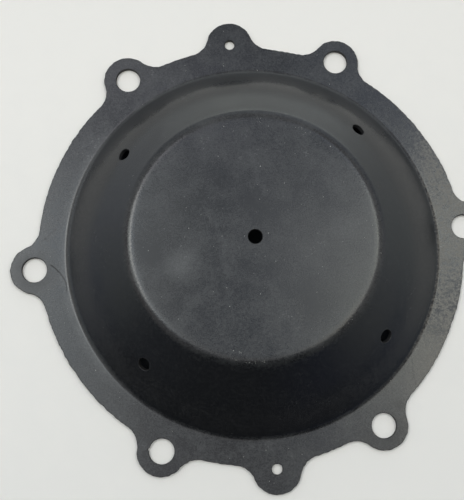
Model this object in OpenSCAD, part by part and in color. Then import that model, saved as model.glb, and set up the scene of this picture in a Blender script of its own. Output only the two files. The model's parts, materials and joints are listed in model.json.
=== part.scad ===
// Moulded rubber diaphragm: a flat flange with eight lugs round a raised, hollow, flat-topped centre.
// Millimetres. The origin is the centre of the flange's underside, +Z points to the raised disc,
// and +Y points to one of the two lugs that have a small locating hole.

/* [Flange] */
// Diameter of the flange between its lugs
flange_d = 157; // [152:0.5:164]
// Thickness of the flange
flange_t = 1.5; // [1.5:0.1:3]

/* [Lugs] */
// Diameter of the circle on which the lugs and their holes lie
bolt_circle_d = 160; // [158:0.5:164]
// Diameter of the round end of each lug
lug_d = 17.5; // [15:0.5:20]
// Radius of the hollow corners where a lug runs into the flange
lug_corner_r = 8; // [4:0.5:12]
// Diameter of the six bolt holes
bolt_hole_d = 9; // [6:0.1:10]
// Diameter of the two locating holes
locating_hole_d = 3.8; // [2:0.1:6]

/* [Raised centre] */
// Height from the flange's underside to the top of the disc
height = 21; // [14:0.5:28]
// Diameter at which the outside of the sloping wall would meet the top of the flange
base_d = 138; // [130:0.2:142]
// Diameter at which the outside of the sloping wall would meet the top of the disc
disc_d = 87.6; // [70:0.2:96]
// Thickness of the disc and the sloping wall, which run flush with the top of the flange
wall_t = 1.5; // [0.8:0.1:1.5]
// Outer radius of the rounded shoulder round the disc
shoulder_r = 7.5; // [3:0.5:9]
// Radius of the hollow corner where the outside of the wall runs into the flange
root_r = 2.5; // [0.5:0.1:4]

/* [Small holes] */
// Diameter of the hole in the middle of the disc
centre_hole_d = 5; // [2:0.1:12]
// Diameter of the four vent holes, drilled square to the sloping wall
vent_d = 4.5; // [2:0.1:6]
// Height of the vents, as a share of the wall's own height
vent_level = 0.46; // [0.4:0.01:0.55]
// Angle round the piece from a locating hole to the vent next to it
vent_angle = 48.5; // [35:0.5:55]

/* [Hidden] */
$fn = 144;

rubber = [0.16, 0.16, 0.17];
flange_r = flange_d / 2;
lug_r = lug_d / 2;
bolt_circle_r = bolt_circle_d / 2;

// Places round the piece, in degrees from +Y
locating_angles = [0, 180];
bolt_angles = [for (i = [0 : 5]) 30 + 60 * i];
vent_angles = [vent_angle, 180 - vent_angle, 180 + vent_angle, -vent_angle];

// A lug's hollow corner touches the flange and the lug, so its centre is known by its distance from both
corner_out = flange_r + lug_corner_r;
corner_from_lug = lug_r + lug_corner_r;
corner_cos = (pow(bolt_circle_r, 2) + pow(corner_out, 2) - pow(corner_from_lug, 2))
    / (2 * bolt_circle_r * corner_out);
corner_c = corner_out * [sin(acos(corner_cos)), corner_cos];

// Slope of the wall
slope = atan2(height - flange_t, (base_d - disc_d) / 2);

// Centres of the two bends. Each lies back from its corner by the radius times the tangent of half the slope
shoulder_c = [disc_d / 2 - shoulder_r * tan(slope / 2), height - shoulder_r];
root_c = [base_d / 2 + root_r * tan(slope / 2), flange_t + root_r];

// Middle of a vent, on the outside of the wall
vent_z = flange_t + vent_level * (height - flange_t);
vent_r = base_d / 2 - (vent_z - flange_t) / tan(slope);

// Straight steps that each bend of the section is drawn in
bend_steps = 12;

// Drills reach this far past the rubber
drill_over = 1;

// One lug on +Y, with the webs that fill its hollow corners
module lug_outline() {
    translate([0, bolt_circle_r]) circle(r = lug_r);
    for (side = [-1, 1])
        difference() {
            polygon([[0, 0], [0, bolt_circle_r], [side * corner_c[0], corner_c[1]]]);
            translate([side * corner_c[0], corner_c[1]]) circle(r = lug_corner_r);
        }
}

// Outline of the flange and its eight lugs
module flange_outline() {
    circle(r = flange_r);
    for (a = concat(locating_angles, bolt_angles))
        rotate(a) lug_outline();
}

// Flat flange, open up to the bend at the foot of the wall
module flange() {
    linear_extrude(flange_t)
        difference() {
            flange_outline();
            circle(r = root_c[0]);
        }
}

// Points along a bend in the section, round a centre, between two directions in degrees from the radial one
function bend(centre, r, from, to) =
    [for (i = [0 : bend_steps]) centre + r * [cos(from + (to - from) * i / bend_steps),
                                              sin(from + (to - from) * i / bend_steps)]];

// Half section of the raised centre, all wall_t thick: the outside down from the axis, then the inside back up
module centre_section() {
    polygon(concat(
        [[0, height]],
        bend(shoulder_c, shoulder_r, 90, 90 - slope),
        bend(root_c, root_r, -90 - slope, -90),
        bend(root_c, root_r + wall_t, -90, -90 - slope),
        bend(shoulder_c, shoulder_r - wall_t, 90 - slope, 90),
        [[0, height - wall_t]]
    ));
}

// Hollow raised centre
module raised_centre() {
    rotate_extrude() centre_section();
}

// Drill through the flange on the bolt circle, on +Y
module flange_drill(d) {
    translate([0, bolt_circle_r, -drill_over]) cylinder(d = d, h = flange_t + 2 * drill_over);
}

// Drill square through the sloping wall, on +Y
module vent_drill() {
    translate([0, vent_r, vent_z])
        rotate([-slope, 0, 0])
            translate([0, 0, -wall_t - drill_over])
                cylinder(d = vent_d, h = wall_t + 2 * drill_over);
}

// Every hole in the piece
module holes() {
    for (a = bolt_angles)
        rotate(a) flange_drill(bolt_hole_d);
    for (a = locating_angles)
        rotate(a) flange_drill(locating_hole_d);
    for (a = vent_angles)
        rotate(a) vent_drill();
    translate([0, 0, height - wall_t - drill_over])
        cylinder(d = centre_hole_d, h = wall_t + 2 * drill_over);
}

// The whole moulding
module diaphragm() {
    color(rubber)
        difference() {
            union() {
                flange();
                raised_centre();
            }
            holes();
        }
}

diaphragm();
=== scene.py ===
import json
import math

import bmesh
import bpy
from mathutils import Matrix, Vector, noise


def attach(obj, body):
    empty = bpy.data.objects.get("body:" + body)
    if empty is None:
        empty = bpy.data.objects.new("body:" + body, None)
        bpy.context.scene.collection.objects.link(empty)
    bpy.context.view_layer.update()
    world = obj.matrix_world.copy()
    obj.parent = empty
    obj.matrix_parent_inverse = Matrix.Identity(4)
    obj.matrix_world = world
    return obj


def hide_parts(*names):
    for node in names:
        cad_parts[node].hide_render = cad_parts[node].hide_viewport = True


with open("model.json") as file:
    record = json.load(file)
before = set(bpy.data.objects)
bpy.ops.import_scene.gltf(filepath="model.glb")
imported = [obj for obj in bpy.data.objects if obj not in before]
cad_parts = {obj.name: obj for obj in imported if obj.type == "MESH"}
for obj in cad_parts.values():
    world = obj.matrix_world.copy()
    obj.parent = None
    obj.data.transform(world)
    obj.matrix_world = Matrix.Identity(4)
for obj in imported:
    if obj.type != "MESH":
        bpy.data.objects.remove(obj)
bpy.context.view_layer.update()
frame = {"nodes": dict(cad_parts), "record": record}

mm = 0.001  # the scene is in metres, the sizes below are in millimetres
print("Frame loaded:", ", ".join(frame["nodes"]))


def hexToLinear(text):
    # a web colour such as "#1f2022", as the linear colour that a shader socket takes
    tones = [int(text[i:i + 2], 16) / 255 for i in (1, 3, 5)]
    return tuple(t / 12.92 if t <= 0.04045 else ((t + 0.055) / 1.055) ** 2.4 for t in tones) + (1.0,)


def compass(angle, out, height):
    # a place given by its angle clockwise from +Y and its distance from the axis
    turn = math.radians(angle)
    return Vector((out * math.sin(turn), out * math.cos(turn), height))


def easeShare(value, low, high):
    # nothing at the low end, one at the high end, and level at both
    share = max(0, min(1, (value - low) / (high - low)))
    return share * share * (3 - 2 * share)


def linkPiece(name, bm):
    mesh = bpy.data.meshes.new(name)
    bm.to_mesh(mesh)
    bm.free()
    piece = bpy.data.objects.new(name, mesh)
    bpy.context.scene.collection.objects.link(piece)
    return piece


# Camera: worked out from the hole pattern. Millimetres in the part's frame, picture sizes in pixels
cameraLook = {
    "place": (-18.99, -49.04, 294.72),
    "aim": (-0.93, -0.58, 0.75),
    "pictureTurn": 6.317,  # degrees from the picture's upward direction to the part's +Y, anticlockwise
    "focal": 804.6,
    "picture": (464, 500),
    "axisPixel": (250, 250),
    "sensor": 36,
}


def makeCamera(look):
    data = bpy.data.cameras.new("camera")
    camera = bpy.data.objects.new("camera", data)
    bpy.context.scene.collection.objects.link(camera)
    wide, tall = look["picture"]
    longSide = max(wide, tall)
    data.sensor_width = look["sensor"]
    data.lens = look["focal"] / longSide * data.sensor_width
    data.shift_x = (wide / 2 - look["axisPixel"][0]) / longSide
    data.shift_y = (look["axisPixel"][1] - tall / 2) / longSide
    place = Vector(look["place"]) * mm
    ahead = (Vector(look["aim"]) * mm - place).normalized()
    right = ahead.cross(compass(look["pictureTurn"], 1, 0)).normalized()
    up = right.cross(ahead)
    camera.matrix_world = Matrix.Translation(place) @ Matrix((right, up, -ahead)).transposed().to_4x4()
    bpy.context.scene.camera = camera


makeCamera(cameraLook)
print("Camera placed")


# The moulding. The mounts give the sizes that a casing has to match, and the rest is stated here in millimetres.
# Angles run clockwise from +Y, seen from above
mounts = {mount["name"]: mount for mount in frame["record"]["mounts"]}
moulding = {
    "boltCircle": mounts["bolt_circle"]["dims"]["pcd_mm"] / 2,
    "boltHole": mounts["bolt_circle"]["dims"]["hole_r_mm"],
    "locatingHole": mounts["locating_holes"]["dims"]["hole_r_mm"],
    "centreHole": mounts["centre_hole"]["dims"]["r_mm"],
    "wall": mounts["centre_hole"]["dims"]["length_mm"],
    "flangeTop": mounts["flange_top"]["pos_m"][2] / mm,
    "discTop": mounts["disc_top"]["pos_m"][2] / mm,
    "boltAngles": (30, 90, 150, 210, 270, 330),
    "locatingAngles": (0, 180),
    "flangeRadius": 78.5,
    "lugRadius": 8.75,
    "cornerRadius": 8.0,
    "baseRadius": 68.7,  # where the line of the wall meets the top of the flange
    "discFlat": 41.3,
    "easeRadius": 19.0,  # the disc eases down through this wide bend into the shoulder
    "easeTurn": 3.5,
    "shoulder": 6.4,
    "root": 2.8,
    "footShift": (0.7, -0.15),  # the soft centre stands a little off the bolt pattern, and leans
    "discShift": (0.1, 1.1),
    "holeShift": (0.2, 0.6),
    "bulge": 0.9,  # the wall swells between foot and shoulder, so it is steeper below and flatter above
    "farBulge": 1.05,  # and swells more on the side that leans away
    "farSide": (0.35, 0.9),  # shares of +Y between which that side sets in
    "vents": ((-49.99, 55.4), (48.56, 55.43), (132.12, 56.54), (-132.19, 57.26)),  # angle, distance from the axis
    "ventRadius": 2.3,
    "ventRagged": 0.2,
    "ventTear": 2,  # size of the raggedness
    "nick": (210, -73.5, 0.5),  # angle of the bolt hole, direction from its middle, depth
    # how far the hand-trimmed outline lies outside its drawn line, at even steps round the piece
    "trim": (0.08, -0.34, -0.01, 0.23, 0.41, 0.83, 0.58, 0.44, 0.05, 0.13, 0.01, -0.1,
             0.05, -0.14, 0.09, -0.03, -0.26, -0.26, -0.02, 0.02, 0.02, 0.28, 0.31, 0.01),
    "trimTremble": 0.2,
    "trimSnip": 1.5,
    "rimBand": 0.45,
    "rimRound": 0.22,
    "rimAngle": 50,  # degrees past which an edge counts as a rim
    # how finely the mesh is divided
    "turnSteps": 240,
    "discSteps": 26,
    "easeSteps": 4,
    "bendSteps": 12,
    "wallSteps": 17,
    "rootSteps": 6,
    "ventSteps": 40,
    "ventWindow": 1.9,  # a vent's window in the wall's mesh, against the vent's radius
    "boltSteps": 48,
    "locatingSteps": 28,
    "edgeStep": 0.5,
    "rimSteps": 3,
    "weld": 0.01,
}


def growStraight(bm, tip, target, steps):
    # a chain of edges drawn on from its tip in a straight line
    stride = (target - tip.co) / steps
    for _ in range(steps):
        tip = bmesh.ops.extrude_vert_indiv(bm, verts=[tip])["verts"][0]
        bmesh.ops.translate(bm, verts=[tip], vec=stride)
    return tip


def growBend(bm, tip, centre, axis, angle, steps):
    # the same chain drawn on round a centre
    bend = bmesh.ops.spin(bm, geom=[tip], cent=centre, axis=axis, angle=angle, steps=max(1, round(steps)))
    return bend["geom_last"][0]


def sectionPlaces(m):
    # the wall is the straight line that touches the shoulder and runs to the foot
    easeTurn = math.radians(m["easeTurn"])
    easeCentre = Vector((m["discFlat"], 0, m["discTop"] - m["easeRadius"]))
    easeWay = Vector((math.sin(easeTurn), 0, math.cos(easeTurn)))
    shoulderCentre = easeCentre + (m["easeRadius"] - m["shoulder"]) * easeWay
    across, drop = m["baseRadius"] - shoulderCentre.x, shoulderCentre.z - m["flangeTop"]
    slope = math.atan2(drop, across) + math.asin(m["shoulder"] / math.hypot(across, drop))
    return {
        "slope": slope,
        "easeTurn": easeTurn,
        "easeCentre": easeCentre,
        "shoulderCentre": shoulderCentre,
        "rootCentre": Vector((m["baseRadius"] + m["root"] * math.tan(slope / 2), 0, m["flangeTop"] + m["root"])),
        "outward": Vector((math.sin(slope), 0, math.cos(slope))),
    }


def spinCentre(bm, m):
    # disc, ease, shoulder, wall and foot: one chain of edges in the XZ plane, spun once round
    places = sectionPlaces(m)
    across = Vector((0, 1, 0))
    tip = bmesh.ops.create_vert(bm, co=(m["centreHole"], 0, m["discTop"]))["vert"][0]
    tip = growStraight(bm, tip, Vector((m["discFlat"], 0, m["discTop"])), m["discSteps"])
    tip = growBend(bm, tip, places["easeCentre"], across, places["easeTurn"], m["easeSteps"])
    tip = growBend(bm, tip, places["shoulderCentre"], across, places["slope"] - places["easeTurn"], m["bendSteps"])
    tip = growStraight(bm, tip, places["rootCentre"] - m["root"] * places["outward"], m["wallSteps"])
    growBend(bm, tip, places["rootCentre"], across, -places["slope"], m["rootSteps"])
    chain = bm.verts[:] + bm.edges[:]
    bmesh.ops.spin(bm, geom=chain, cent=(0, 0, 0), axis=(0, 0, 1), angle=math.tau,
                   steps=m["turnSteps"], use_merge=True)


def cutVents(bm, m):
    # a window is opened in the wall and closed again round the vent's own rim
    slope = sectionPlaces(m)["slope"]

    def wallHeight(out):
        return m["flangeTop"] + (m["baseRadius"] - out) * math.tan(slope)

    for angle, out in m["vents"]:
        spot = compass(angle, out, wallHeight(out))
        reach = m["ventWindow"] * m["ventRadius"]
        window = [f for f in bm.faces if (f.calc_center_median() - spot).length < reach]
        inWindow = set(window)
        border = [e for e in dict.fromkeys(e for f in window for e in f.edges)  # in the same order each run
                  if any(f not in inWindow for f in e.link_faces)]
        bmesh.ops.delete(bm, geom=window, context="FACES")
        tilt = Matrix.Rotation(-math.radians(angle), 4, "Z") @ Matrix.Rotation(-slope, 4, "X")
        ring = bmesh.ops.create_circle(bm, segments=m["ventSteps"], radius=m["ventRadius"],
                                       matrix=Matrix.Translation(spot) @ tilt)["verts"]
        for v in ring:  # the rim is a little ragged, and it follows the round of the wall
            away = (v.co - spot).normalized()
            v.co += away * m["ventRagged"] * noise.noise(v.co / m["ventTear"])
            v.co.z = wallHeight(v.co.xy.length)
        rim = list(dict.fromkeys(e for v in ring for e in v.link_edges))
        bmesh.ops.bridge_loops(bm, edges=border + rim)


def settleCentre(bm, m):
    # the soft centre swells a little and leans
    foot, disc, hole = (Vector(m[k]) for k in ("footShift", "discShift", "holeShift"))
    for v in bm.verts:
        level = max(0, (v.co.z - m["flangeTop"]) / (m["discTop"] - m["flangeTop"]))
        out = v.co.xy.length
        swell = m["bulge"] + m["farBulge"] * easeShare(v.co.y / out, *m["farSide"])
        belly = 0.9 * (math.sin(math.pi * level) - math.sin(3 * math.pi * level) / 9)  # one at mid height
        v.co.xy *= 1 + swell * belly / out
        v.co.xy += foot.lerp(hole.lerp(disc, min(1, out / m["discFlat"])), level)


def drawOutline(bm, m):
    # one vertex is spun round every centre in turn: flange, hollow corner, lug, hollow corner, and so on
    up = Vector((0, 0, 1))
    flange, lug, corner = m["flangeRadius"], m["lugRadius"], m["cornerRadius"]
    reach, top = m["boltCircle"], m["flangeTop"]
    cornerOut, cornerLug = flange + corner, lug + corner
    atAxis = math.degrees(math.acos((reach ** 2 + cornerOut ** 2 - cornerLug ** 2) / (2 * reach * cornerOut)))
    atLug = math.degrees(math.acos((reach ** 2 + cornerLug ** 2 - cornerOut ** 2) / (2 * reach * cornerLug)))

    def bend(tip, centre, radius, turn):
        turn = math.radians(turn)
        return growBend(bm, tip, centre, up, -turn, abs(turn) * radius / m["edgeStep"])

    angles = sorted(m["boltAngles"] + m["locatingAngles"]) + [360]
    tip = bmesh.ops.create_vert(bm, co=compass(atAxis, flange, top))["vert"][0]
    for here, there in zip(angles, angles[1:]):
        tip = bend(tip, compass(0, 0, top), flange, there - here - 2 * atAxis)
        tip = bend(tip, compass(there - atAxis, cornerOut, top), corner, atAxis + atLug - 180)
        tip = bend(tip, compass(there, reach, top), lug, 360 - 2 * atLug)
        tip = bend(tip, compass(there + atAxis, cornerOut, top), corner, atAxis + atLug - 180)
    bmesh.ops.remove_doubles(bm, verts=bm.verts, dist=m["weld"])


def trimOutline(bm, m):
    # the cut wanders off its line from lug to lug, and trembles from one snip to the next
    count = len(m["trim"])
    shifts = {}
    for v in bm.verts:
        along = v.link_edges[0].other_vert(v).co - v.link_edges[1].other_vert(v).co
        out = Vector((along.y, -along.x, 0)).normalized()
        out = out if out.dot(v.co) > 0 else -out
        step = math.degrees(math.atan2(v.co.x, v.co.y)) % 360 / (360 / count)
        first = int(step)
        ease = easeShare(step, first, first + 1)
        wander = m["trim"][first % count] * (1 - ease) + m["trim"][(first + 1) % count] * ease
        shifts[v] = out * (wander + m["trimTremble"] * noise.noise(v.co / m["trimSnip"]))
    for v, shift in shifts.items():
        v.co += shift


def makeFlange(m):
    bm = bmesh.new()
    drawOutline(bm, m)
    trimOutline(bm, m)
    top = m["flangeTop"]
    rings = [(Vector((*m["footShift"], top)), sectionPlaces(m)["rootCentre"].x, m["turnSteps"])]
    rings += [(compass(a, m["boltCircle"], top), m["boltHole"], m["boltSteps"]) for a in m["boltAngles"]]
    rings += [(compass(a, m["boltCircle"], top), m["locatingHole"], m["locatingSteps"]) for a in m["locatingAngles"]]
    for middle, radius, segments in rings:
        bmesh.ops.create_circle(bm, segments=segments, radius=radius, matrix=Matrix.Translation(middle))
    hole, turn, depth = m["nick"]
    nickAt = compass(hole, m["boltCircle"], top) + compass(turn, m["boltHole"], 0)
    nicked = min(bm.verts, key=lambda v: (v.co - nickAt).length)
    nicked.co += compass(turn, depth, 0)
    bmesh.ops.triangle_fill(bm, edges=bm.edges, use_beauty=True, normal=(0, 0, 1))
    bmesh.ops.inset_region(bm, faces=bm.faces, thickness=m["rimBand"], use_boundary=True, use_even_offset=True)
    flat = bpy.data.meshes.new("flangeSheet")
    bm.to_mesh(flat)
    bm.free()
    return flat


def makeMoulding(m):
    bm = bmesh.new()
    spinCentre(bm, m)
    cutVents(bm, m)
    settleCentre(bm, m)
    bm.from_mesh(makeFlange(m))
    bmesh.ops.remove_doubles(bm, verts=bm.verts, dist=m["weld"])
    bmesh.ops.recalc_face_normals(bm, faces=bm.faces)
    if sum(f.normal.z for f in bm.faces) < 0:
        bmesh.ops.reverse_faces(bm, faces=bm.faces)
    bmesh.ops.scale(bm, vec=(mm, mm, mm), verts=bm.verts)
    for f in bm.faces:
        f.smooth = True
    piece = linkPiece("mouldedDiaphragm", bm)
    thick = piece.modifiers.new("wall", "SOLIDIFY")
    thick.thickness = m["wall"] * mm
    thick.offset = -1
    thick.use_even_offset = True
    thick.material_offset_rim = 1  # the cut faces have a finish of their own
    rims = piece.modifiers.new("rims", "BEVEL")
    rims.width = m["rimRound"] * mm
    rims.segments = m["rimSteps"]
    rims.limit_method = "ANGLE"
    rims.angle_limit = math.radians(m["rimAngle"])
    rims.harden_normals = True
    rims.material = 1
    return piece


diaphragm = makeMoulding(moulding)
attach(diaphragm, "root")
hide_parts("diaphragm")
print("Moulding made:", len(diaphragm.data.polygons), "faces before its wall")


# Settings that several nodes share
smooth = {"interpolation_type": "SMOOTHSTEP"}
times = {"operation": "MULTIPLY"}
timesPlus = {"operation": "MULTIPLY_ADD"}
largest = {"operation": "MAXIMUM"}
minus = {"operation": "SUBTRACT"}
apart = {"operation": "DISTANCE"}
ofColours = {"data_type": "RGBA"}


def addNode(tree, kind, settings=None, **inputs):
    # one shader node with its settings, and its sockets set or linked by name, or by number as _0
    node = tree.nodes.new(kind)
    for key, value in (settings or {}).items():
        setattr(node, key, value)
    for key, value in inputs.items():
        socket = node.inputs[int(key[1:]) if key[0] == "_" and key[1:].isdigit() else key.replace("_", " ")]
        if isinstance(value, bpy.types.NodeSocket):
            tree.links.new(value, socket)
        else:
            socket.default_value = value
    return node


def startMaterial(name):
    # an empty material with its node tree, and the place on the piece that its patterns follow
    material = bpy.data.materials.new(name)
    material.use_nodes = True
    material.node_tree.nodes.clear()
    return material, material.node_tree, addNode(material.node_tree, "ShaderNodeTexCoord").outputs["Object"]


def perMetre(size):
    return 1 / (size * mm)  # how often a pattern of this size in millimetres comes in a metre


def addUp(tree, start, layers):
    # the start with every layer on top, each as strongly as its amount says
    for layer, amount in layers:
        start = addNode(tree, "ShaderNodeMath", timesPlus, _0=layer, _1=amount, _2=start).outputs[0]
    return start


def addZone(tree, measures, limits):
    # one inside a part of the piece and nothing outside it, with soft borders
    inside = 1.0
    for measure, begin, full in limits:
        share = addNode(tree, "ShaderNodeMapRange", smooth, Value=measures[measure], From_Min=begin * mm,
                        From_Max=full * mm).outputs["Result"]
        inside = addNode(tree, "ShaderNodeMath", times, _0=inside, _1=share).outputs[0]
    return inside


def addSpot(tree, place, middle, reach):
    # how near a point is to the middle of a spot: one there, nothing at its reach
    away = addNode(tree, "ShaderNodeVectorMath", apart, _0=place, _1=Vector(middle) * mm).outputs["Value"]
    return addNode(tree, "ShaderNodeMapRange", smooth, Value=away, From_Min=reach * mm,
                   From_Max=0.0).outputs["Result"]


def addStroke(tree, place, halfWidth, path):
    # how near a point is to a drawn path: one on the path, nothing at its half width
    nearest = 1.0  # a metre
    for here, there in zip(path, path[1:]):
        start, run = Vector(here) * mm, (Vector(there) - Vector(here)) * mm
        toStart = addNode(tree, "ShaderNodeVectorMath", minus, _0=place, _1=start).outputs[0]
        along = addNode(tree, "ShaderNodeVectorMath", {"operation": "DOT_PRODUCT"}, _0=toStart,
                        _1=run / run.length_squared).outputs["Value"]
        share = addNode(tree, "ShaderNodeClamp", None, Value=along).outputs[0]
        foot = addNode(tree, "ShaderNodeVectorMath", {"operation": "SCALE"}, _0=run, Scale=share).outputs[0]
        away = addNode(tree, "ShaderNodeVectorMath", apart, _0=toStart, _1=foot).outputs["Value"]
        nearest = addNode(tree, "ShaderNodeMath", {"operation": "MINIMUM"}, _0=nearest, _1=away).outputs[0]
    return addNode(tree, "ShaderNodeMapRange", smooth, Value=nearest, From_Min=halfWidth * mm,
                   From_Max=0.0).outputs["Result"]


def addSpecks(tree, place, dust, share):
    # one speck in some of the cells of a Voronoi pattern, each of its own size and paleness
    cells = addNode(tree, "ShaderNodeTexVoronoi", None, Vector=place, Scale=perMetre(dust["cell"]))
    pick = addNode(tree, "ShaderNodeSeparateColor", None, Color=cells.outputs["Color"])
    size = addNode(tree, "ShaderNodeMapRange", smooth, Value=pick.outputs["Red"], From_Min=dust["emptyCells"],
                   To_Max=dust["radius"] / dust["cell"]).outputs["Result"]
    wide = addNode(tree, "ShaderNodeMath", times, _0=size, _1=share).outputs[0]
    inside = addNode(tree, "ShaderNodeMath", {"operation": "LESS_THAN"}, _0=cells.outputs["Distance"],
                     _1=wide).outputs[0]
    paleness = addNode(tree, "ShaderNodeMapRange", smooth, Value=pick.outputs["Green"],
                       To_Min=dust["faintest"]).outputs["Result"]
    return addNode(tree, "ShaderNodeMath", times, _0=inside, _1=paleness).outputs[0]


# Rubber: black nitrile, compression moulded in a fine-blasted mould. It gives a satin sheen with soft lamp
# reflections, a pale uneven haze of release powder on the flat faces, specks of dust and a few scuffs
# Part of the haze is painted light and shade: painted glints along the left foot and at two vents, painted shade
# inside the left rim of the disc, and a paler, warmer right flange that is partly painted light
rubberLook = {
    "body": "#18191b",
    "hazeAndPaintedLight": "#4a4b4b",
    "warmHazeAndLight": "#514e48",  # where the flange is chalky, and painted warmer as painted light
    "dust": "#b4b4ae",
    "ior": 1.5,
    "roughness": 0.215,
    "roughnessLimits": (0.08, 1.0),
    # size, detail and roughness of each pattern, the part of it that is used, and the swing that this makes
    "patterns": {
        "clouds": (22, 3, 0.5, 0.3, 0.7, 0.1),
        "blotches": (6, 3, 0.6, 0.3, 0.7, 0.1),
        "mottle": (1.1, 4, 0.65, 0.35, 0.65, 0.5),
        "pepper": (0.42, 1, 0.5, 0.35, 0.65, 0.15),  # single grains of powder
    },
    # parts of the piece: a measure, where the part begins on it and where it is full
    "zones": {
        "disc": (("up", 19.8, 20.8),),
        "flange": (("up", 2.2, 1.6),),
        "chalkyAndPaintedLight": (("up", 2.2, 1.6), ("chalkward", 52, 68)),
        # the rim of the disc: its haze is a little paler, partly as painted highlight, and its grain coarser
        "rim": (("up", 18.8, 20.2), ("out", 42, 47.5)),
        "shoulder": (("up", 18.8, 20.2), ("up", 20.98, 20.8)),
        # painted glint: the foot of the wall on the left
        "leftFootPaintedGlint": (("out", 72.5, 69.2), ("right", -45, -62), ("up", 3, 2)),
        "farFoot": (("up", 10.5, 4), ("far", 30, 52), ("up", 1.52, 1.65)),
    },
    "chalkward": 100,  # the direction in which the flange is chalky and painted paler, partly as painted light
    "powderMean": 0.16,
    "powderMottle": 0.14,
    # paler haze in these zones: on the chalky right of the flange, partly powder and partly painted light; at the rim
    # of the disc, partly worn powder and partly painted highlight; along the foot on the left, a painted glint
    "powderAndLightZones": {"chalkyAndPaintedLight": 0.4, "rim": 0.06, "leftFootPaintedGlint": 0.42},
    # the haze is paler or darker here: place, reach, amount. The small darker spots on the right of the flange are
    # smudges; the darker spot just inside the left rim of the disc is painted shade, and the wide darker spot over
    # the left flange is partly painted shade
    "hazeAndShadePatches": (
        ((-25.6, -7.4, 21), 9, 0.55), ((-22.0, 1.0, 21), 9, 0.2), ((29.5, 20.0, 21), 12, 0.3),
        ((31.0, 2.0, 21), 9, 0.2), ((-37.0, -2.0, 21), 8, -0.4), ((3.0, 10.0, 21), 12, -0.25),
        ((17.0, -24.0, 21), 12, -0.35), ((-9.0, 25.0, 21), 8, -0.1),
        ((74.6, 8.8, 1.5), 2.5, -0.35), ((71.3, -12.7, 1.5), 3, -0.35), ((74.3, -12.2, 1.5), 2.5, -0.3),
        ((71.2, -23.7, 1.5), 3, -0.3), ((62.1, -36.5, 1.5), 4.5, -0.4), ((65.0, -37.5, 1.5), 3.5, -0.3),
        ((46.8, -62.4, 1.5), 3, -0.4), ((-76.0, 12.0, 1.5), 60, -0.2), ((-28.0, 71.0, 1.5), 26, 0.12),
    ),
    # faint flow lines and rubbed marks, pale or dark: amount, half width, path
    "marks": (
        (0.2, 2.1, ((1.2, 30.8, 21.0), (3.0, 25.9, 21.0), (3.3, 20.1, 21.0), (5.2, 16.1, 21.0))),
        (0.19, 2.1, ((-14.8, 10.5, 21.0), (-12.8, 3.8, 21.0), (-10.9, -0.1, 21.0), (-11.6, -6.6, 21.0),
                     (-10.3, -11.3, 21.0))),
        (0.18, 2.2, ((-11.7, -15.7, 21.0), (-10.8, -20.3, 21.0), (-10.5, -25.8, 21.0))),
        (0.25, 0.5, ((33.5, 49.7, 8.9), (31.4, 43.0, 14.2), (33.9, 38.1, 16.0))),
        (-0.4, 0.7, ((71.3, -4.8, 1.5), (73.4, -3.9, 1.5), (75.3, -2.7, 1.5))),
        (-0.35, 0.5, ((59.7, -37.3, 1.5), (59.3, -40.1, 1.5), (59.2, -43.5, 1.5))),
        (-0.4, 0.6, ((53.3, -45.4, 1.5), (53.0, -50.1, 1.5), (53.3, -55.4, 1.5))),
    ),
    "shakeSize": 4,  # marks are drawn on a slightly shaken place, so that their edges are not ruled
    "shake": 1.5,
    # how much duller, or shinier where it is less than nothing, each of these makes the skin
    "dullPatterns": {"blotches": 0.25, "clouds": 0.2},
    "dullMottle": (0.06, 0.2),  # everywhere, and more by this where the flange is chalky
    "dullZones": {"shoulder": -0.05, "farFoot": 0.22},  # handled bright, and powder that stays in the corner
    "dullDust": 0.6,
    # place, reach, amount
    "dullSpots": (((-81.0, -1.0, 1.5), 14, 0.16), ((-70.0, 27.0, 1.5), 24, 0.04), ((42.0, -72.0, 1.5), 13, 0.1)),
    # a hair and two scratches: amount, half width, path
    "dullMarks": (
        (0.35, 0.4, ((-73.9, 1.2, 1.5), (-72.2, -0.4, 1.5), (-70.9, -2.0, 1.5), (-69.8, -3.9, 1.5),
                     (-68.9, -6.0, 1.5), (-68.9, -8.9, 1.5))),
        (0.12, 0.4, ((-76.2, 10.4, 1.5), (-73.8, 12.4, 1.5), (-71.2, 14.4, 1.5))),
        (0.08, 0.4, ((-75.6, 11.5, 1.5), (-74.4, 10.0, 1.5))),
    ),
    "specks": {"cell": 1.6, "radius": 0.135, "emptyCells": 0.42, "faintest": 0.3},
    "speckShare": (0.5, 0.5),  # size of the specks on the slopes, and how much larger they are on the flat
    "crumbsAndGlints": {"cell": 0.5, "radius": 0.13, "emptyCells": 0.0, "faintest": 0.3},
    # rows of white crumbs caught at the rim of the disc, a curl of lint, and painted glints at the rims of two vents:
    # half width, path
    "crumbAndGlintRows": (
        (0.9, ((3.4, 43.2, 21.0), (8.0, 42.7, 21.0))),
        (0.7, ((3.6, 41.8, 21.0), (6.3, 41.6, 21.0))),
        (0.7, ((15.1, 39.7, 21.0), (15.6, 39.0, 21.0))),
        (1.1, ((19.7, 38.4, 21.0), (21.7, 37.5, 21.0), (24.2, 36.1, 21.0))),
        (1.1, ((-12.3, -40.4, 20.6), (-8.7, -41.8, 20.6), (-1.0, -42.6, 20.6))),
        (1.0, ((-11.7, -37.7, 21.0), (-8.8, -38.7, 21.0))),
        (0.5, ((-11.9, 2.6, 21.0), (-10.6, 1.5, 21.0), (-9.5, 2.1, 21.0))),
        # painted glints at the rims of the two vents on the left
        (0.5, ((-45.1, 36.9, 10.0), (-44.4, 36.5, 10.6))),
        (0.6, ((-41.8, -40.9, 9.5), (-41.3, -40.5, 9.9))),
    ),
    "reliefDetail": 1,
    "waveSize": 16,
    "waveDepth": 0.016,
    "grainSize": 0.6,  # the blasted grain is nearer 0.1 mm, drawn as coarse as it shows
    "grainDepth": 0.03,
    "grainShare": 0.35,  # of that depth on the flat, with all of it at the rim of the disc
}


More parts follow.
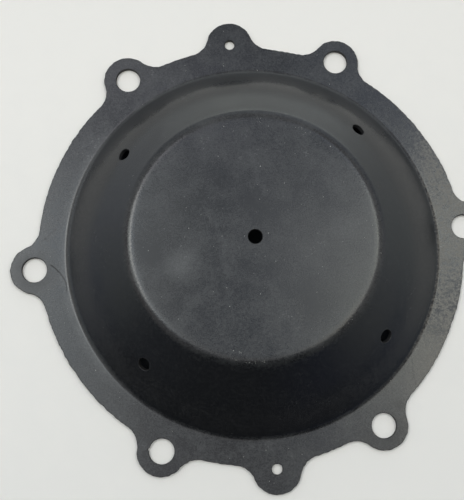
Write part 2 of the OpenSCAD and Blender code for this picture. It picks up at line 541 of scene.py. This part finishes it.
def makeRubber(look):
    material, tree, place = startMaterial("nitrileRubberCompressionMoulded")

    # noise patterns, each spread evenly to both sides of nothing
    patterns = {}
    for name, (size, detail, roughness, low, high, swing) in look["patterns"].items():
        plain = addNode(tree, "ShaderNodeTexNoise", None, Vector=place, Scale=perMetre(size), Detail=detail,
                        Roughness=roughness).outputs["Fac"]
        patterns[name] = addNode(tree, "ShaderNodeMapRange", smooth, Value=plain, From_Min=low, From_Max=high,
                                 To_Min=-swing, To_Max=swing).outputs["Result"]

    # parts of the piece
    axes = addNode(tree, "ShaderNodeSeparateXYZ", None, Vector=place).outputs
    measures = {
        "right": axes["X"],
        "far": axes["Y"],
        "up": axes["Z"],
        "out": addNode(tree, "ShaderNodeVectorMath", {"operation": "LENGTH"}, _0=place).outputs["Value"],
        "chalkward": addNode(tree, "ShaderNodeVectorMath", {"operation": "DOT_PRODUCT"}, _0=place,
                             _1=compass(look["chalkward"], 1, 0)).outputs["Value"],
    }
    zones = {name: addZone(tree, measures, limits) for name, limits in look["zones"].items()}
    flat = addNode(tree, "ShaderNodeMath", largest, _0=zones["disc"], _1=zones["flange"]).outputs[0]

    # the powder haze, with some painted light and shade in it
    jitter = addNode(tree, "ShaderNodeTexNoise", None, Vector=place, Scale=perMetre(look["shakeSize"]))
    shake = look["shake"] * mm
    shaken = addNode(tree, "ShaderNodeVectorMath", timesPlus, _0=jitter.outputs["Color"],
                     _1=(2 * shake, 2 * shake, 0), _2=place).outputs[0]
    shaken = addNode(tree, "ShaderNodeVectorMath", minus, _0=shaken, _1=(shake, shake, 0)).outputs[0]
    powderAndShade = addUp(tree, look["powderMean"], [(patterns["clouds"], 1.0), (patterns["blotches"], 1.0)])
    powderAndShade = addUp(tree, powderAndShade, [(addSpot(tree, shaken, middle, reach), amount)
                                  for middle, reach, amount in look["hazeAndShadePatches"]])
    mottling = addUp(tree, look["powderMottle"], [(zones["chalkyAndPaintedLight"], 1.0)])
    hazeAndPaintedLight = addUp(tree, 0.0, [(powderAndShade, flat), (patterns["mottle"], mottling), (patterns["pepper"], flat)])
    hazeAndPaintedLight = addUp(tree, hazeAndPaintedLight, [(zones[name], amount) for name, amount in look["powderAndLightZones"].items()])
    hazeAndPaintedLight = addUp(tree, hazeAndPaintedLight, [(addStroke(tree, shaken, halfWidth, path), amount)
                              for amount, halfWidth, path in look["marks"]])
    hazeAndPaintedLight = addNode(tree, "ShaderNodeClamp", None, Value=hazeAndPaintedLight).outputs[0]
    # the warm tint on the right of the flange is partly painted light
    hazeAndLightTint = addNode(tree, "ShaderNodeMix", ofColours, _0=zones["chalkyAndPaintedLight"], _6=hexToLinear(look["hazeAndPaintedLight"]),
                       _7=hexToLinear(look["warmHazeAndLight"])).outputs[2]
    powderedAndPainted = addNode(tree, "ShaderNodeMix", ofColours, _0=hazeAndPaintedLight, _6=hexToLinear(look["body"]),
                       _7=hazeAndLightTint).outputs[2]

    # dust and crumbs, and painted glints at two vents
    crumbAndGlintPaths = 0.0
    for halfWidth, path in look["crumbAndGlintRows"]:
        crumbAndGlintPaths = addNode(tree, "ShaderNodeMath", largest, _0=crumbAndGlintPaths,
                       _1=addStroke(tree, place, halfWidth, path)).outputs[0]
    onSlopes, moreOnFlat = look["speckShare"]
    speckAndGlint = addNode(tree, "ShaderNodeMath", largest,
                    _0=addSpecks(tree, place, look["specks"], addUp(tree, onSlopes, [(flat, moreOnFlat)])),
                    _1=addSpecks(tree, place, look["crumbsAndGlints"], crumbAndGlintPaths)).outputs[0]
    tint = addNode(tree, "ShaderNodeMix", ofColours, _0=speckAndGlint, _6=powderedAndPainted, _7=hexToLinear(look["dust"])).outputs[2]

    # sheen
    everywhere, chalkyAndPaintedLight = look["dullMottle"]
    dull = addUp(tree, look["roughness"], [(patterns[name], amount) for name, amount in look["dullPatterns"].items()])
    dull = addUp(tree, dull, [(patterns["mottle"], addUp(tree, everywhere, [(zones["chalkyAndPaintedLight"], chalkyAndPaintedLight)])),
                              (speckAndGlint, look["dullDust"])])
    dull = addUp(tree, dull, [(zones[name], amount) for name, amount in look["dullZones"].items()])
    dull = addUp(tree, dull, [(addSpot(tree, place, middle, reach), amount)
                              for middle, reach, amount in look["dullSpots"]])
    dull = addUp(tree, dull, [(addStroke(tree, place, halfWidth, path), amount)
                              for amount, halfWidth, path in look["dullMarks"]])
    low, high = look["roughnessLimits"]
    dull = addNode(tree, "ShaderNodeClamp", None, Value=dull, Min=low, Max=high).outputs[0]

    # relief: slow waves of the soft sheet under the grain of the mould
    heights = {size: addNode(tree, "ShaderNodeTexNoise", None, Vector=place, Scale=perMetre(look[size]),
                             Detail=look["reliefDetail"]).outputs["Fac"] for size in ("waveSize", "grainSize")}
    waves = addNode(tree, "ShaderNodeBump", None, Strength=1.0, Distance=look["waveDepth"] * mm,
                    Height=heights["waveSize"])
    coarse = addNode(tree, "ShaderNodeMapRange", smooth, Value=zones["rim"], To_Min=look["grainShare"])
    grain = addNode(tree, "ShaderNodeBump", None, Strength=coarse.outputs["Result"],
                    Distance=look["grainDepth"] * mm, Height=heights["grainSize"], Normal=waves.outputs["Normal"])

    shader = addNode(tree, "ShaderNodeBsdfPrincipled", None, Base_Color=tint, Roughness=dull, IOR=look["ior"],
                     Normal=grain.outputs["Normal"])
    addNode(tree, "ShaderNodeOutputMaterial", None, Surface=shader.outputs["BSDF"])
    return material


diaphragm.data.materials.append(makeRubber(rubberLook))


# Cut edge: the same rubber where flash and holes were trimmed with a blade. It gives a dull dark line
cutEdgeLook = {"body": "#141415", "ior": 1.5, "roughness": 0.6, "tearSize": 0.7, "tearDepth": 0.03}


def makeCutEdge(look):
    material, tree, place = startMaterial("nitrileRubberKnifeTrimmed")
    tears = addNode(tree, "ShaderNodeTexNoise", None, Vector=place, Scale=perMetre(look["tearSize"]))
    relief = addNode(tree, "ShaderNodeBump", None, Strength=1.0, Distance=look["tearDepth"] * mm,
                     Height=tears.outputs["Fac"])
    shader = addNode(tree, "ShaderNodeBsdfPrincipled", None, Base_Color=hexToLinear(look["body"]),
                     Roughness=look["roughness"], IOR=look["ior"], Normal=relief.outputs["Normal"])
    addNode(tree, "ShaderNodeOutputMaterial", None, Surface=shader.outputs["BSDF"])
    return material


diaphragm.data.materials.append(makeCutEdge(cutEdgeLook))
print("Rubber made")


# Table: a white laminated board. It gives a nearly white ground with a trace of mottling, painted light that makes it
# paler towards the far side, and painted shade under the dome
tableLook = {
    # painted light: the near colour is the ground's shaded side and the far colour its lit side
    "near": "#e3e1dc",
    "far": "#e9e6e0",
    "paintedLightNearToFar": (-80, 80),
    "mottleSize": 9,
    "mottleDetail": 4,
    "mottle": 0.8,
    "roughness": 0.55,
    "paintedShadeUnderDome": "#1f2a31",  # painted shade: the ground under the dome is painted dark, as it never sees the room
    "paintedShadeReach": (62, 66),
    "reach": 3,  # metres each way
    "gap": 0.05,  # below the rubber, which does not lie quite flat
}


def makeTable(look):
    bm = bmesh.new()
    bmesh.ops.create_grid(bm, x_segments=1, y_segments=1, size=look["reach"])
    bmesh.ops.translate(bm, verts=bm.verts, vec=(0, 0, -look["gap"] * mm))
    table = linkPiece("table", bm)
    material, tree, place = startMaterial("melamineLaminateSatin")
    mottle = addNode(tree, "ShaderNodeTexNoise", None, Vector=place, Scale=perMetre(look["mottleSize"]),
                     Detail=look["mottleDetail"]).outputs["Fac"]
    centred = addNode(tree, "ShaderNodeMath", minus, _0=mottle, _1=0.5).outputs[0]
    # painted light: the ground is painted paler towards the far side
    start, end = (reach * mm for reach in look["paintedLightNearToFar"])
    along = addNode(tree, "ShaderNodeMapRange", None, From_Min=start, From_Max=end,
                    Value=addNode(tree, "ShaderNodeSeparateXYZ", None, Vector=place).outputs["Y"]).outputs["Result"]
    share = addNode(tree, "ShaderNodeMath", {**timesPlus, "use_clamp": True}, _0=centred, _1=look["mottle"],
                    _2=along).outputs[0]
    tint = addNode(tree, "ShaderNodeMix", ofColours, _0=share, _6=hexToLinear(look["near"]),
                   _7=hexToLinear(look["far"])).outputs[2]
    # painted shade: the ground under the dome is painted dark, out to its reach
    out = addNode(tree, "ShaderNodeVectorMath", {"operation": "LENGTH"}, _0=place).outputs["Value"]
    inner, outer = (reach * mm for reach in look["paintedShadeReach"])
    outsidePaintedShade = addNode(tree, "ShaderNodeMapRange", None, Value=out, From_Min=inner, From_Max=outer)
    tint = addNode(tree, "ShaderNodeMix", ofColours, _0=outsidePaintedShade.outputs["Result"],
                   _6=hexToLinear(look["paintedShadeUnderDome"]), _7=tint).outputs[2]
    shader = addNode(tree, "ShaderNodeBsdfPrincipled", None, Base_Color=tint, Roughness=look["roughness"])
    addNode(tree, "ShaderNodeOutputMaterial", None, Surface=shader.outputs["BSDF"])
    table.data.materials.append(material)


makeTable(tableLook)
print("Table laid")


# Room: dark on the near side and pale beyond the piece, with a bright window low down there.
# Colours run round from the left by the near side
room = {
    "bands": (
        ("#6a717f", "#1e1f20", "#060607", "#060607", "#060607", "#364258",
         "#929999", "#aab0b0", "#f1f8f6", "#f8fffa", "#c8ccce", "#a3a9b1"),  # skyline
        ("#919695", "#3a3e45", "#1d1e20", "#141416", "#282e43", "#7d8180",
         "#9c9fa3", "#80858d", "#adb3bb", "#a7acb0", "#8f9499", "#aeb1b4"),  # low
        ("#9b9696", "#060607", "#060607", "#a09f9e", "#919194", "#a0a2a4"),  # middle
        ("#c1c3cc", "#443d36", "#758291", "#9ba1aa"),  # top
    ),
    # degrees from the vertical between which one band turns into the next
    "turns": ((85, 76), (64, 48), (36, 18)),
    "strength": 2.05,
}


def makeRoom(look):
    world = bpy.data.worlds.new("room")
    bpy.context.scene.world = world
    world.use_nodes = True
    tree = world.node_tree
    tree.nodes.clear()
    way = addNode(tree, "ShaderNodeTexCoord").outputs["Generated"]
    around = addNode(tree, "ShaderNodeTexGradient", {"gradient_type": "RADIAL"}, Vector=way).outputs["Fac"]
    upward = addNode(tree, "ShaderNodeSeparateXYZ", None, Vector=way).outputs["Z"]
    bands = []
    for colours in look["bands"]:
        band = addNode(tree, "ShaderNodeValToRGB", None, Fac=around)
        colours += colours[:1]  # the last colour meets the first
        stops = band.color_ramp.elements
        for _ in range(len(colours) - len(stops)):
            stops.new(0.5)
        for i, colour in enumerate(colours):
            stops[i].position = i / (len(colours) - 1)
            stops[i].color = hexToLinear(colour)
        bands.append(band.outputs["Color"])
    light = bands[0]
    for (low, high), band in zip(look["turns"], bands[1:]):
        share = addNode(tree, "ShaderNodeMapRange", smooth, Value=upward, From_Min=math.cos(math.radians(low)),
                        From_Max=math.cos(math.radians(high))).outputs["Result"]
        light = addNode(tree, "ShaderNodeMix", ofColours, _0=share, _6=light, _7=band).outputs[2]
    glow = addNode(tree, "ShaderNodeBackground", None, Color=light, Strength=look["strength"])
    addNode(tree, "ShaderNodeOutputWorld", None, Surface=glow.outputs["Background"])


makeRoom(room)

# Soft panels, in metres: tilt from the vertical, compass from +Y clockwise, width, depth, glow, colour
lampDistance = 0.9
lampPanels = {
    "leftWindow": (24, -72, 0.5, 0.6, 0.90, "#fcfff3"),
    "leftBlind": (22, -72, 0.4, 0.12, 0.47, "#b4dcff"),
    "leftScreen": (26, -80, 0.45, 0.45, 0.82, "#e2f7ff"),
    "leftPane": (18, -43, 0.2, 0.1, 0.54, "#b4d1ff"),
    "leftShelf": (25, -74, 0.4, 0.1, 3.41, "#fff6ec"),
    "leftSill": (30, -62, 0.3, 0.14, 2.95, "#fcfff9"),
    "rightSill": (30, 74, 0.3, 0.14, 2.4, "#f9ffea"),
    "rightWindow": (21, 80, 0.30, 0.42, 0.87, "#fefff6"),
    "rightScreen": (23, 80, 0.5, 0.6, 0.68, "#fdfdff"),
    "rightPane": (21, 64, 0.16, 0.1, 1.98, "#f9fff4"),
    "rightSmall": (15, 88, 0.14, 0.08, 1.42, "#f9ffcf"),
    "farLeft": (32, -35, 0.35, 0.2, 1.71, "#f9f6ff"),
    "farRight": (32, 45, 0.35, 0.2, 0.82, "#dbe7ff"),
    "nearRight": (24, 115, 0.25, 0.25, 1.53, "#fffae5"),
    "overhead": (14, 180, 0.3, 0.2, 0.65, "#fdfeff"),
    "farPane": (23, 0, 0.15, 0.1, 0.97, "#eceaff"),
}


def makeLamps(panels, distance):
    for name, (tilt, turn, wide, deep, glow, colour) in panels.items():
        data = bpy.data.lights.new(name, "AREA")
        data.shape = "RECTANGLE"
        data.size, data.size_y = wide, deep
        data.energy = math.pi * wide * deep * glow  # a panel's power for a given brightness of its face
        data.color = hexToLinear(colour)[:3]
        lamp = bpy.data.objects.new(name, data)
        bpy.context.scene.collection.objects.link(lamp)
        lean = math.radians(tilt)
        away = compass(turn, math.sin(lean), math.cos(lean))
        lamp.matrix_world = Matrix.Translation(away * distance) @ away.to_track_quat("Z", "Y").to_matrix().to_4x4()


makeLamps(lampPanels, lampDistance)
bpy.context.scene.view_settings.view_transform = "Standard"
print("Room and lamps set")
